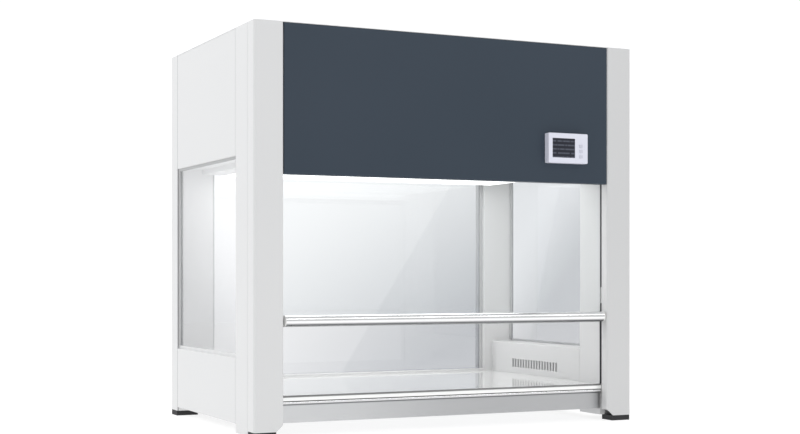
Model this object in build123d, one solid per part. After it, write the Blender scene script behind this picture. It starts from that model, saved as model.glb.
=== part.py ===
from build123d import *
import math
import os

# Bench-top fume hood. Millimetres, +Z up, front towards -Y, origin on the bench
# under the middle of the whole hood.
# Inside this file y is counted from the front plane of the columns towards the rear,
# and save() shifts every piece to the final origin.

# Cabinet
cabinet_width = 1000.0
cabinet_depth = 640.0
cabinet_height = 932.0
sheet = 1.5
past = 5.0  # how far a cutting solid runs past a face

# Front columns: a folded cover wrapped round a folded box
column_width = 70.0
column_depth = 127.0
cover_return = 45.0
cover_flange = 15.0
cover_bend = 6.0
cover_notch_width = 18.0
cover_notch_height = 16.0
skirt_lift = 2.0

# Groove between cover and column body, in which the sash guide sits
groove_front = 25.0
groove_width = 10.0
groove_depth = 18.0
guide_depth = 15.0
guide_inset = 1.0
guide_wall = 1.2

# Rear posts
post_width = 98.0
post_depth = 54.0

# Side walls with their windows
panel_lift = 22.0
panel_flange = 30.0
sill_height = 176.0
head_rise = 13.0
sill_bend = 3.0
ledge_drop = 2.0
ledge_bend = 0.5
bead_height = 8.0
side_glass_recess = 7.0
side_glass_thickness = 4.0
gasket_face = 6.0
gasket_lip = 3.0
gasket_grip = 5.0

# Slotted grille in each lower side liner
grille_slots = 17
grille_pitch = 14.2
grille_slot_width = 7.0
grille_slot_height = 23.4
grille_setback = 231.0
grille_centre_z = 120.0

# Rear window
rear_sill_height = 97.0
rear_head_rise = 11.0
rear_glass_inset = 14.0
rear_glass_thickness = 5.0
rear_gasket_face = 7.0
rear_gasket_lip = 4.0
rear_return_height = 79.0

# Worktop, front rail, apron and base
worktop_height = 91.0
worktop_front = 26.0
worktop_bend = 5.0
worktop_gap = 0.5
hem_height = 13.0
hem_return = 14.0
rail_height = 8.5
rail_depth = 12.0
rail_round = 4.2
apron_setback = 7.0
apron_bottom = 28.5
apron_flange = 27.0
apron_bottom_flange = 17.0
pan_upturn = 14.0
bearer_offset = 200.0
bearer_flange = 25.0

# Header panel
header_height = 342.0
header_depth = 22.0
header_gap = 0.8
header_bend = 2.5

# Plenum: front wall, ceiling diffuser, filter, fan deck
plenum_front_y = 42.0
plenum_height = 307.0
diffuser_sheet = 1.2
diffuser_upturn = 15.0
diffuser_columns = 8
diffuser_rows = 3
diffuser_slot_length = 76.0
diffuser_slot_width = 10.0
diffuser_margin = 32.0
filter_height = 70.0
filter_wall = 12.0
filter_clearance = 0.5
media_margin = 5.0
media_thickness = 1.0
media_pleats = 20
deck_drop = 64.0
plenum_flange = 20.0
return_slots = 5
return_slot_length = 50.0
return_slot_height = 30.0
return_slot_margin = 30.0
return_slot_rise = 10.0

# Fan: impeller with backward-leaning blades on a motor that stands on a bridge
fan_advance = 10.0
inlet_radius = 95.0
inlet_lip = 12.0
inlet_collar = 6.0
impeller_radius = 130.0
impeller_inlet_gap = 4.0
impeller_height = 58.0
impeller_plate = 1.5
impeller_tip_gap = 10.0
blade_count = 7
blade_thickness = 2.0
blade_sweep = 34.0
hub_radius = 22.0
hub_height = 24.0
shaft_radius = 6.0
shaft_fit = 0.05
hub_fit = 0.02
motor_radius = 55.0
motor_height = 56.0
motor_gap = 5.0
motor_floor = 8.0
bridge_width = 80.0
bridge_height = 24.0

# Top cover with air intake, and the prefilter under it
intake_columns = 9
intake_rows = 2
intake_slot_length = 110.0
intake_slot_width = 16.0
intake_pitch_x = 40.0
intake_pitch_y = 140.0
prefilter_margin = 20.0
prefilter_thickness = 15.0

# Lamps between the front corners of the chamber
lamp_radius = 8.0
lamp_drop = 14.0
work_lamp_y = 62.0
uv_lamp_y = 96.0
lamp_fit = 0.05
holder_length = 18.0
holder_width = 22.0
holder_socket = 8.0

# Control module on the header
module_inset = 68.5
module_width = 112.0
module_rise = 47.5
module_height = 73.0
module_depth = 18.0
module_wall = 2.0
module_corner = 3.0
module_edge = 1.0
split_line = 0.6
split_height = 6.0
screen_left = 11.0
screen_bottom = 13.3
screen_width = 64.0
screen_height = 47.0
screen_recess = 0.8
screen_thickness = 3.0
screen_gap = 0.2
screen_rim = 2.0
board_thickness = 1.6
board_inset = 8.0
button_inset = 20.0
button_bottom = 17.0
button_pitch = 12.8
button_width = 9.0
button_height = 6.4
button_gap = 0.3
button_flange_margin = 1.2
button_flange = 1.0
button_proud = 1.0
button_stem_width = 3.4
button_travel = 1.2

# Sash
sash_open = 155.5
bar_radius = 12.5
bar_bore_radius = 9.5
bar_end_gap = 7.0
bar_cap_thickness = 2.5
bar_cap_plug = 8.0
bar_plug_fit = 0.05
lug_height = 22.0
lug_overlap = 5.0
lug_rear = 36.0
glass_pocket = 4.0
sash_overlap = 28.0
sash_glass_thickness = 5.0
sash_glass_engagement = 6.0
glass_fit = 0.1
top_rail_height = 14.0
top_rail_wall = 2.5
top_rail_grip = 12.0
seal_width = 8.0
seal_height = 3.0
shoe_height = 40.0
shoe_grip = 4.5
shoe_clearance = 0.3
lower_shoe_rise = 40.0
upper_shoe_drop = 30.0

# Feet
foot_height = 13.0
foot_inset = 3.0
foot_inner_inset = 17.0
foot_length = 46.0
rear_foot_width = 56.0
rear_foot_inset = 0.5

# Cable gland in the rear upper panel
gland_inset = 72.0
gland_drop = 212.0
gland_bore_radius = 4.5
gland_body_radius = 8.0
gland_nut_radius = 12.0
gland_nut_height = 6.0
gland_reach = 18.0

# Planes that several pieces share
bend = sheet  # outer radius of a fold, which leaves it sharp inside
half_width = cabinet_width / 2
inner_x = half_width - column_width
post_x = half_width - post_width
post_y = cabinet_depth - post_depth
groove_rear = groove_front + groove_width
under_cover = cabinet_height - sheet
ceiling_height = cabinet_height - plenum_height
header_bottom = cabinet_height - header_height
head_height = ceiling_height + head_rise
rear_head_height = ceiling_height + rear_head_rise
deck_height = cabinet_height - deck_drop
lamp_height = ceiling_height - lamp_drop
module_left = inner_x - module_inset - module_width
module_bottom = header_bottom + module_rise
gland_x = post_x - gland_inset
gland_z = cabinet_height - gland_drop
fan_y = cabinet_depth / 2 - fan_advance
grille_centre_y = post_y - grille_setback
bar_height = worktop_height + sash_open + seal_height + lug_height / 2
glass_outer_x = half_width - side_glass_recess
glass_inner_x = glass_outer_x - side_glass_thickness
sash_y = groove_front + groove_width / 2
hem_bottom = worktop_height - hem_height
rail_bottom = hem_bottom - rail_height
apron_front = worktop_front + apron_setback
pan_bottom = apron_bottom + sheet
worktop_half = inner_x - worktop_gap
front_reach = module_depth + button_proud
frame_shift = (front_reach - cabinet_depth - gland_reach) / 2


def box(x0, x1, y0, y1, z0, z1):
    """A block given by its limits."""
    middle = Pos((x0 + x1) / 2, (y0 + y1) / 2, (z0 + z1) / 2)
    return middle * Box(x1 - x0, y1 - y0, z1 - z0)


def folded(points, radii, inside, thickness=sheet):
    """Section of a folded sheet: its outer line, with the thickness on one side."""
    return make_face(offset(FilletPolyline(*points, radius=radii), amount=thickness, side=inside))


def tube(points):
    """Section of a closed folded box."""
    outer = make_face(Polyline(*points, close=True))
    outer = fillet(outer.vertices(), bend)
    return outer - offset(outer, amount=-sheet)


def along_x(section, x0, x1):
    """Extrude a section drawn in (y, z)."""
    return extrude(Plane.YZ.offset(x0) * section, x1 - x0)


def along_y(section, y0, y1):
    """Extrude a section drawn in (x, z)."""
    return extrude(Plane.XZ.offset(-y1) * section, y1 - y0)


def along_z(section, z0, z1):
    """Extrude a section drawn in (x, y)."""
    return extrude(Plane.XY.offset(z0) * section, z1 - z0)


def rod(radius, start, end):
    """A round bar between two points."""
    start, end = Vector(*start), Vector(*end)
    return extrude(Plane(start, z_dir=end - start) * Circle(radius), (end - start).length)


def spread(count, pitch):
    """Evenly spaced places about zero."""
    return [(index - (count - 1) / 2) * pitch for index in range(count)]


def save(node, *solids):
    """Move to the final origin and write one file for the node."""
    placed = [Pos(0, frame_shift, 0) * solid for solid in solids]
    if len(placed) > 1:
        bodies = [body for part in placed for body in part.solids()]
        placed = [Compound(children=bodies)]
    export_step(placed[0], f"parts/{node}.step")


def save_pair(node, right):
    """Write the right-hand piece and its mirror image."""
    save(f"right_{node}", right)
    save(f"left_{node}", mirror(right, about=Plane.YZ))


def column_cover():
    """Folded cover of a front column, its lower inner corner cut off."""
    line = [
        (inner_x, groove_front),
        (inner_x, 0),
        (half_width, 0),
        (half_width, cover_return),
        (half_width - cover_flange, cover_return),
    ]
    cover = along_z(folded(line, [cover_bend, cover_bend, bend], Side.LEFT), foot_height, under_cover)
    notch = Polyline(
        (inner_x - past, foot_height - past),
        (inner_x + cover_notch_width, foot_height - past),
        (inner_x + cover_notch_width, foot_height),
        (inner_x, foot_height + cover_notch_height),
        (inner_x - past, foot_height + cover_notch_height),
        close=True,
    )
    return cover - along_y(make_face(notch), -past, groove_front + past)


def column_body():
    """Folded box behind the cover; only its outer wall reaches down past the foot."""
    step_x = inner_x + groove_depth
    body = along_z(
        tube(
            [
                (inner_x, groove_rear),
                (step_x, groove_rear),
                (step_x, cover_return),
                (half_width, cover_return),
                (half_width, column_depth),
                (inner_x, column_depth),
            ]
        ),
        skirt_lift,
        under_cover,
    )
    return body - box(inner_x - past, half_width - sheet, 0, column_depth + past, 0, foot_height)


def sash_guide():
    """Channel in the groove, open towards the chamber."""
    mouth = inner_x + guide_inset
    outer = box(mouth, mouth + guide_depth, groove_front, groove_rear, worktop_height, under_cover)
    slot = box(
        mouth,
        mouth + guide_depth - guide_wall,
        groove_front + guide_wall,
        groove_rear - guide_wall,
        worktop_height,
        under_cover,
    )
    return outer - slot


def rear_post():
    """Folded box at a rear corner."""
    corners = [(post_x, post_y), (half_width, post_y), (half_width, cabinet_depth), (post_x, cabinet_depth)]
    return along_z(tube(corners), foot_height, under_cover)


def upper_side_panel():
    """Outer skin above the window, folded in at the top and under the wall as window head."""
    line = [
        (half_width - panel_flange, under_cover),
        (half_width, under_cover),
        (half_width, head_height),
        (inner_x + sheet, head_height),
    ]
    return along_y(folded(line, bend, Side.RIGHT), column_depth, post_y)


def upper_side_liner():
    """Inner skin above the window; slots above the fan deck let the returned air in."""
    liner = box(inner_x, inner_x + sheet, column_depth, post_y, head_height, under_cover)
    slot_z = deck_height + sheet + return_slot_rise
    pitch = (post_y - column_depth - 2 * return_slot_margin) / return_slots
    for y in spread(return_slots, pitch):
        start = (column_depth + post_y) / 2 + y - return_slot_length / 2
        liner -= box(
            inner_x - past,
            inner_x + past,
            start,
            start + return_slot_length,
            slot_z,
            slot_z + return_slot_height,
        )
    return liner


def lower_side_panel():
    """Outer skin below the window, with a ledge and a bead that hold the glass."""
    bead_x = glass_outer_x + sheet
    ledge = sill_height - ledge_drop
    line = [
        (half_width - panel_flange, panel_lift),
        (half_width, panel_lift),
        (half_width, ledge),
        (bead_x, ledge),
        (bead_x, ledge + bead_height),
    ]
    return along_y(folded(line, [bend, bend, ledge_bend], Side.LEFT), column_depth, post_y)


def lower_side_liner():
    """Inner skin below the window, with the sill folded outwards and a slotted grille."""
    line = [(inner_x, panel_lift), (inner_x, sill_height), (glass_outer_x, sill_height)]
    liner = along_y(folded(line, sill_bend, Side.RIGHT), column_depth, post_y)
    return liner - [
        box(
            inner_x - past,
            inner_x + past,
            grille_centre_y + y - grille_slot_width / 2,
            grille_centre_y + y + grille_slot_width / 2,
            grille_centre_z - grille_slot_height / 2,
            grille_centre_z + grille_slot_height / 2,
        )
        for y in spread(grille_slots, grille_pitch)
    ]


def side_glass():
    """Pane that stands on the window sill."""
    return box(
        glass_inner_x,
        glass_outer_x,
        column_depth + gasket_lip,
        post_y - gasket_lip,
        sill_height,
        head_height - gasket_lip,
    )


def side_gasket():
    """Rubber round the front, top and rear edges of the side glass."""
    x0, x1 = glass_inner_x - gasket_lip, glass_outer_x + gasket_lip
    bottom = sill_height + bead_height - ledge_drop
    ring = box(x0, x1, column_depth, post_y, bottom, head_height)
    ring -= box(
        x0,
        x1,
        column_depth + gasket_face,
        post_y - gasket_face,
        bottom,
        head_height - gasket_face,
    )
    return ring - side_glass()


def rear_glass():
    """Rear pane, standing on the rear sill."""
    edge = post_x - rear_gasket_lip
    front = post_y + rear_glass_inset
    return box(
        -edge,
        edge,
        front,
        front + rear_glass_thickness,
        rear_sill_height,
        rear_head_height - rear_gasket_lip,
    )


def rear_gasket():
    """Rubber round the sides and top of the rear glass."""
    front = post_y + rear_glass_inset - rear_gasket_lip
    rear = post_y + rear_glass_inset + rear_glass_thickness + rear_gasket_lip
    inner = post_x - rear_gasket_face
    ring = box(-post_x, post_x, front, rear, rear_sill_height, rear_head_height)
    ring -= box(-inner, inner, front, rear, rear_sill_height, rear_head_height - rear_gasket_face)
    return ring - rear_glass()


def rear_upper_panel():
    """Rear skin above the window, folded forward under the plenum and up behind the filter."""
    line = [
        (post_y, rear_head_height + rear_return_height),
        (post_y, rear_head_height),
        (cabinet_depth, rear_head_height),
        (cabinet_depth, under_cover),
        (cabinet_depth - panel_flange, under_cover),
    ]
    panel = along_x(folded(line, bend, Side.LEFT), -post_x, post_x)
    inside, outside = cabinet_depth - past, cabinet_depth + past
    hole = rod(gland_body_radius, (gland_x, inside, gland_z), (gland_x, outside, gland_z))
    return panel - hole


def rear_lower_panel():
    """Rear skin below the window, folded over as the rear sill."""
    line = [
        (post_y, pan_bottom),
        (post_y, rear_sill_height),
        (cabinet_depth, rear_sill_height),
        (cabinet_depth, panel_lift),
    ]
    return along_x(folded(line, bend, Side.RIGHT), -post_x, post_x)


def worktop():
    """Polished sheet with a rounded, hemmed front edge."""
    line = [
        (worktop_front + hem_return, hem_bottom),
        (worktop_front, hem_bottom),
        (worktop_front, worktop_height),
        (post_y, worktop_height),
    ]
    return along_x(folded(line, [bend, worktop_bend], Side.RIGHT), -worktop_half, worktop_half)


def front_rail():
    """Bright half-round rail under the hem."""
    block = box(
        -worktop_half, worktop_half, worktop_front, worktop_front + rail_depth, rail_bottom, hem_bottom
    )
    front_edges = block.edges().filter_by(Axis.X).group_by(Axis.Y)[0]
    return fillet(front_edges, rail_round)


def apron():
    """Satin front sheet under the rail."""
    line = [
        (apron_front + apron_flange, rail_bottom),
        (apron_front, rail_bottom),
        (apron_front, apron_bottom),
        (apron_front + apron_bottom_flange, apron_bottom),
    ]
    return along_x(folded(line, bend, Side.LEFT), -worktop_half, worktop_half)


def base_pan():
    """Bottom sheet, turned up at both sides."""
    line = [
        (-inner_x, pan_bottom + pan_upturn),
        (-inner_x, pan_bottom),
        (inner_x, pan_bottom),
        (inner_x, pan_bottom + pan_upturn),
    ]
    return along_y(folded(line, bend, Side.LEFT), apron_front + sheet + bend, post_y)


def worktop_bearer():
    """Channel that carries the worktop on the base pan."""
    line = [
        (bearer_offset + bearer_flange, pan_bottom + sheet),
        (bearer_offset, pan_bottom + sheet),
        (bearer_offset, worktop_height - sheet),
        (bearer_offset + bearer_flange, worktop_height - sheet),
    ]
    start = apron_front + apron_flange + bend
    return along_y(folded(line, bend, Side.RIGHT), start, post_y)


def header_panel():
    """Front panel above the opening: a tray, open to the rear."""
    half = inner_x - header_gap
    block = box(-half, half, 0, header_depth, header_bottom, under_cover)
    front_edges = block.faces().sort_by(Axis.Y)[0].edges()
    block = fillet(front_edges, header_bend)
    hollow = box(
        -half + sheet,
        half - sheet,
        sheet,
        header_depth,
        header_bottom + sheet,
        under_cover - sheet,
    )
    return block - hollow


def plenum_front():
    """Wall between the sash space and the plenum."""
    line = [
        (plenum_front_y + plenum_flange, under_cover),
        (plenum_front_y, under_cover),
        (plenum_front_y, ceiling_height),
    ]
    return along_x(folded(line, bend, Side.LEFT), -inner_x, inner_x)


def diffuser():
    """Slotted ceiling tray under the filter."""
    front = plenum_front_y + sheet
    tray = box(-inner_x, inner_x, front, post_y, ceiling_height, ceiling_height + diffuser_upturn)
    tray -= box(
        -inner_x + diffuser_sheet,
        inner_x - diffuser_sheet,
        front + diffuser_sheet,
        post_y - diffuser_sheet,
        ceiling_height + diffuser_sheet,
        ceiling_height + diffuser_upturn,
    )
    middle = (front + post_y) / 2
    pitch_x = 2 * (inner_x - diffuser_margin) / diffuser_columns
    pitch_y = (post_y - front - 2 * diffuser_margin) / diffuser_rows
    cuts = [
        box(
            x - diffuser_slot_length / 2,
            x + diffuser_slot_length / 2,
            middle + y - diffuser_slot_width / 2,
            middle + y + diffuser_slot_width / 2,
            ceiling_height - past,
            ceiling_height + past,
        )
        for x in spread(diffuser_columns, pitch_x)
        for y in spread(diffuser_rows, pitch_y)
    ]
    return tray - cuts


def filter_limits():
    """Outer limits of the filter: x, front y, rear y, bottom z, top z."""
    x = inner_x - filter_clearance
    front = plenum_front_y + sheet + filter_clearance
    rear = post_y - filter_clearance
    bottom = ceiling_height + diffuser_upturn
    return x, front, rear, bottom, bottom + filter_height


def filter_frame():
    """Rectangular frame of the filter, resting on the rim of the diffuser."""
    x, front, rear, bottom, top = filter_limits()
    frame = box(-x, x, front, rear, bottom, top)
    inside = box(-x + filter_wall, x - filter_wall, front + filter_wall, rear - filter_wall, bottom, top)
    return frame - inside


def filter_media():
    """One long sheet in sharp pleats between the ends of the frame."""
    x, front, rear, bottom, top = filter_limits()
    low, high = bottom + media_margin, top - media_margin
    reach = x - filter_wall - media_thickness
    step = 2 * reach / (2 * media_pleats)
    points = [(index * step - reach, (low, high)[index % 2]) for index in range(2 * media_pleats + 1)]
    pleats = Polyline(*points)
    section = make_face(offset(pleats, amount=media_thickness, side=Side.LEFT, kind=Kind.INTERSECTION))
    media = along_y(section, front + filter_wall, rear - filter_wall)
    limit = x - filter_wall
    return media & box(-limit, limit, front, rear, bottom, top)


def fan_deck():
    """Sheet that carries the inlet bell above the impeller."""
    top = deck_height + sheet
    deck = box(-inner_x, inner_x, plenum_front_y + sheet, post_y, deck_height, top)
    deck += box(-post_x, post_x, post_y, cabinet_depth - sheet, deck_height, top)
    outer = inlet_radius + sheet + inlet_lip
    deck -= rod(outer, (0, fan_y, deck_height - past), (0, fan_y, top + past))
    line = Polyline(
        (outer + sheet, top),
        (inlet_radius + inlet_lip, top),
        (inlet_radius, top - inlet_lip),
        (inlet_radius, top - inlet_lip - inlet_collar),
    )
    section = make_face(offset(line, amount=sheet, side=Side.LEFT, kind=Kind.INTERSECTION))
    bell = revolve(Plane.XZ * section, Axis.Z)
    return deck + Pos(0, fan_y, 0) * bell


def impeller_levels():
    """Bottom and top of the impeller, hung just under the deck around the inlet collar."""
    top = deck_height - impeller_tip_gap
    return top - impeller_height, top


def impeller():
    """Back plate, hub, backward-leaning blades and shroud as one riveted wheel."""
    bottom, top = impeller_levels()
    eye = inlet_radius + sheet + impeller_inlet_gap
    disc = Cylinder(impeller_radius, impeller_plate, align=(Align.CENTER, Align.CENTER, Align.MIN))
    wheel = Pos(0, 0, bottom) * disc
    wheel += Pos(0, 0, top - impeller_plate) * (disc - Cylinder(eye, past))
    hub = Cylinder(hub_radius, hub_height, align=(Align.CENTER, Align.CENTER, Align.MIN))
    wheel += Pos(0, 0, bottom) * hub
    outer_end = impeller_radius - blade_thickness
    inner_end = eye + blade_thickness
    start = Vector(inner_end, 0)
    end = Vector(outer_end, 0).rotate(Axis.Z, -blade_sweep)
    side_step = (end - start).normalized().rotate(Axis.Z, 90) * blade_thickness
    section = make_face(Polyline(start, end, end + side_step, start + side_step, close=True))
    blade = along_z(section, bottom + impeller_plate, top - impeller_plate)
    for index in range(blade_count):
        wheel += Rot(0, 0, index * 360 / blade_count) * blade
    bore = rod(shaft_radius + hub_fit, (0, 0, bottom - past), (0, 0, bottom + hub_height + past))
    return Pos(0, fan_y, 0) * (wheel - bore)


def motor_levels():
    """Bottom and top of the motor housing."""
    top = impeller_levels()[0] - motor_gap
    return top - motor_height, top


def motor_shaft():
    """Shaft from the motor floor to the top of the hub."""
    bottom = motor_levels()[0] + motor_floor
    top = impeller_levels()[0] + hub_height
    return rod(shaft_radius, (0, fan_y, bottom), (0, fan_y, top))


def fan_motor():
    """Round motor housing, its bore clear of the shaft."""
    bottom, top = motor_levels()
    body = rod(motor_radius, (0, fan_y, bottom), (0, fan_y, top))
    shaft_bottom = bottom + motor_floor
    return body - rod(shaft_radius + shaft_fit, (0, fan_y, shaft_bottom), (0, fan_y, top + past))


def motor_bridge():
    """Channel across the plenum, on which the motor stands."""
    top = motor_levels()[0]
    front, rear = fan_y - bridge_width / 2, fan_y + bridge_width / 2
    line = [(front, top - bridge_height), (front, top), (rear, top), (rear, top - bridge_height)]
    return along_x(folded(line, bend, Side.RIGHT), -inner_x, inner_x)


def top_cover():
    """Cover plate with rows of intake slots."""
    plate = box(-half_width, half_width, 0, cabinet_depth, under_cover, cabinet_height)
    corners = plate.edges().filter_by(Axis.Z).sort_by(Axis.Y)
    plate = fillet(corners[:2], cover_bend)
    corners = plate.edges().filter_by(Axis.Z).sort_by(Axis.Y)
    plate = fillet(corners[-2:], bend)
    cuts = [
        box(
            x - intake_slot_width / 2,
            x + intake_slot_width / 2,
            fan_y + y - intake_slot_length / 2,
            fan_y + y + intake_slot_length / 2,
            under_cover - past,
            cabinet_height + past,
        )
        for x in spread(intake_columns, intake_pitch_x)
        for y in spread(intake_rows, intake_pitch_y)
    ]
    return plate - cuts


def prefilter():
    """Coarse pad under the intake slots."""
    half_x = intake_columns * intake_pitch_x / 2 + prefilter_margin
    half_y = intake_rows * intake_pitch_y / 2 + prefilter_margin
    return box(
        -half_x, half_x, fan_y - half_y, fan_y + half_y, under_cover - prefilter_thickness, under_cover
    )


def lamp(y):
    """Lamp tube with its end caps in the holders."""
    end = inner_x - holder_length + holder_socket
    return rod(lamp_radius, (-end, y, lamp_height), (end, y, lamp_height))


def lamp_holder(y, side):
    """Socket fixed to the wall of a column body."""
    near, far = sorted((side * (inner_x - holder_length), side * inner_x))
    half = holder_width / 2
    block = box(near, far, y - half, y + half, lamp_height - half, lamp_height + half)
    mouth = side * (inner_x - holder_length)
    socket = rod(
        lamp_radius + lamp_fit, (mouth, y, lamp_height), (mouth + side * holder_socket, y, lamp_height)
    )
    return block - socket


def button_place(index):
    """Middle of a button on the module's face: x and z."""
    return module_left + module_width - button_inset, module_bottom + button_bottom + index * button_pitch


def button_outline(index, margin):
    """Rectangle of a button, widened by a margin."""
    return Pos(*button_place(index)) * Rectangle(button_width + 2 * margin, button_height + 2 * margin)


def screen_limits(gap):
    """Limits of the screen in x and z, widened by a gap."""
    left = module_left + screen_left
    bottom = module_bottom + screen_bottom
    return left - gap, left + screen_width + gap, bottom - gap, bottom + screen_height + gap


def control_housing():
    """Moulded housing with a parting line, a screen window and openings for three buttons."""
    right, top = module_left + module_width, module_bottom + module_height
    shell = box(module_left, right, -module_depth, 0, module_bottom, top)
    shell = fillet(shell.edges().filter_by(Axis.Y), module_corner)
    shell = chamfer(shell.faces().sort_by(Axis.Y)[0].edges(), module_edge)
    shell -= box(
        module_left + module_wall,
        right - module_wall,
        module_wall - module_depth,
        0,
        module_bottom + module_wall,
        top - module_wall,
    )
    groove = box(module_left, right, -split_height - split_line, -split_height, module_bottom, top)
    groove -= box(
        module_left + split_line,
        right - split_line,
        -module_depth,
        0,
        module_bottom + split_line,
        top - split_line,
    )
    x0, x1, z0, z1 = screen_limits(screen_gap)
    shell -= box(x0, x1, -module_depth - past, 0, z0, z1)
    for index in range(3):
        shell -= along_y(button_outline(index, button_gap), -module_depth - past, 0)
    return shell - groove


def control_screen():
    """Display behind the housing's window, wider at the back than the window."""
    front = screen_recess - module_depth
    x0, x1, z0, z1 = screen_limits(0)
    screen = box(x0, x1, front, module_wall - module_depth, z0, z1)
    x0, x1, z0, z1 = screen_limits(screen_rim)
    return screen + box(x0, x1, module_wall - module_depth, front + screen_thickness, z0, z1)


def control_board():
    """Circuit board across the inside of the housing."""
    right, top = module_left + module_width, module_bottom + module_height
    return box(
        module_left + module_wall,
        right - module_wall,
        -board_inset,
        board_thickness - board_inset,
        module_bottom + module_wall,
        top - module_wall,
    )


def control_button(index):
    """Push button with a flange behind the housing's face and a square stem."""
    face = -module_depth - button_proud
    back = module_wall - module_depth + button_gap
    stem_end = -board_inset - button_travel - button_gap
    button = along_y(button_outline(index, 0), face, back)
    button += along_y(button_outline(index, button_flange_margin), back, back + button_flange)
    stem = Pos(*button_place(index)) * Rectangle(button_stem_width, button_stem_width)
    return button + along_y(stem, back + button_flange, stem_end)


def sash_levels():
    """Bottom and top of the sash glass."""
    bottom = bar_height - lug_height / 2 + glass_pocket
    closed_bottom = worktop_height + seal_height + glass_pocket
    return bottom, bottom + header_bottom + sash_overlap - closed_bottom


def sash_glass():
    """Sliding pane, its edges in the guides."""
    edge = inner_x + sash_glass_engagement
    bottom, top = sash_levels()
    half = sash_glass_thickness / 2
    return box(-edge, edge, sash_y - half, sash_y + half, bottom, top)


def sash_bar():
    """Extruded handle bar: a round tube with a lug that grips the glass."""
    end = inner_x - bar_end_gap
    grip = sash_glass_thickness / 2 + glass_fit
    section = Pos(bar_radius, bar_height) * Circle(bar_radius)
    lug_front = 2 * bar_radius - lug_overlap
    lug = Pos((lug_front + lug_rear) / 2, bar_height) * Rectangle(lug_rear - lug_front, lug_height)
    section = section + lug - Pos(bar_radius, bar_height) * Circle(bar_bore_radius)
    bottom = sash_levels()[0]
    top = bar_height + lug_height
    pocket = Pos(sash_y, (bottom + top) / 2) * Rectangle(2 * grip, top - bottom)
    return along_x(section - pocket, -end, end)


def bar_end_cap(side):
    """Round cap plugged into one end of the handle bar."""
    end = inner_x - bar_end_gap
    outer = end + bar_cap_thickness
    cap = rod(bar_radius, (side * end, bar_radius, bar_height), (side * outer, bar_radius, bar_height))
    start = (side * (end - bar_cap_plug), bar_radius, bar_height)
    return cap + rod(bar_bore_radius - bar_plug_fit, start, (side * end, bar_radius, bar_height))


def sash_top_rail():
    """Channel on the upper edge of the sash glass."""
    half_inside = sash_glass_thickness / 2 + glass_fit
    half_outside = half_inside + top_rail_wall
    glass_top = sash_levels()[1]
    end = inner_x - bar_end_gap
    top = glass_top + top_rail_height - top_rail_grip
    rail = box(-end, end, sash_y - half_outside, sash_y + half_outside, glass_top - top_rail_grip, top)
    return rail - box(-end, end, sash_y - half_inside, sash_y + half_inside, 0, glass_top)


def sash_seal():
    """Rubber strip under the lug of the handle bar."""
    end = inner_x - bar_end_gap
    top = bar_height - lug_height / 2
    half = seal_width / 2
    return box(-end, end, sash_y - half, sash_y + half, top - seal_height, top)


def guide_shoe(side, bottom):
    """Nylon shoe clipped on a vertical edge of the glass, running in the guide."""
    edge = inner_x + sash_glass_engagement
    floor = inner_x + guide_inset + guide_depth - guide_wall
    half = groove_width / 2 - guide_wall - shoe_clearance
    near, far = sorted((side * (edge - shoe_grip), side * (floor - shoe_clearance)))
    shoe = box(near, far, sash_y - half, sash_y + half, bottom, bottom + shoe_height)
    return shoe - sash_glass()


def front_foot():
    """Rubber block under a column."""
    return box(
        inner_x + foot_inner_inset,
        half_width - sheet - shoe_clearance,
        foot_inset,
        foot_inset + foot_length,
        0,
        foot_height,
    )


def rear_foot():
    """Rubber block under a rear post."""
    outer = half_width - rear_foot_inset
    rear = cabinet_depth - rear_foot_inset
    return box(outer - rear_foot_width, outer, rear - foot_length, rear, 0, foot_height)


def cable_gland():
    """Gland with hexagon nuts on both faces of the rear panel and a bore for a lead."""
    inside = cabinet_depth - sheet - gland_nut_height
    outside = cabinet_depth + gland_reach
    gland = rod(gland_body_radius, (gland_x, inside, gland_z), (gland_x, outside, gland_z))
    nut = Pos(gland_x, gland_z) * RegularPolygon(gland_nut_radius, 6)
    gland += along_y(nut, cabinet_depth, cabinet_depth + gland_nut_height)
    gland += along_y(nut, inside, cabinet_depth - sheet)
    start, end = (gland_x, inside - past, gland_z), (gland_x, outside + past, gland_z)
    return gland - rod(gland_bore_radius, start, end)


os.makedirs("parts", exist_ok=True)

# Structure
save_pair("column_cover", column_cover())
save_pair("column_body", column_body())
save_pair("sash_guide", sash_guide())
save_pair("rear_post", rear_post())
save_pair("upper_side_panel", upper_side_panel())
save_pair("upper_side_liner", upper_side_liner())
save_pair("lower_side_panel", lower_side_panel())
save_pair("lower_side_liner", lower_side_liner())
save_pair("side_glass", side_glass())
save_pair("side_gasket", side_gasket())
save("rear_glass", rear_glass())
save("rear_gasket", rear_gasket())
save("rear_upper_panel", rear_upper_panel())
save("rear_lower_panel", rear_lower_panel())
save("worktop", worktop())
save("front_rail", front_rail())
save("apron", apron())
save("base_pan", base_pan())
save_pair("worktop_bearer", worktop_bearer())
save("header_panel", header_panel())
save("top_cover", top_cover())
right_feet = [front_foot(), rear_foot()]
save("feet", *right_feet, *[mirror(foot, about=Plane.YZ) for foot in right_feet])
save("cable_gland", cable_gland())

# Plenum, filter and fan
save("plenum_front", plenum_front())
save("diffuser", diffuser())
save("filter_frame", filter_frame())
save("filter_media", filter_media())
save("fan_deck", fan_deck())
save("impeller", impeller())
save("motor_shaft", motor_shaft())
save("fan_motor", fan_motor())
save("motor_bridge", motor_bridge())
save("prefilter", prefilter())

# Lamps
save("work_lamp", lamp(work_lamp_y))
save("uv_lamp", lamp(uv_lamp_y))
save("lamp_holders", *[lamp_holder(y, side) for y in (work_lamp_y, uv_lamp_y) for side in (-1, 1)])

# Control module
save("control_housing", control_housing())
save("control_screen", control_screen())
save("control_board", control_board())
for index, name in enumerate(("lower_button", "middle_button", "upper_button")):
    save(name, control_button(index))

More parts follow.
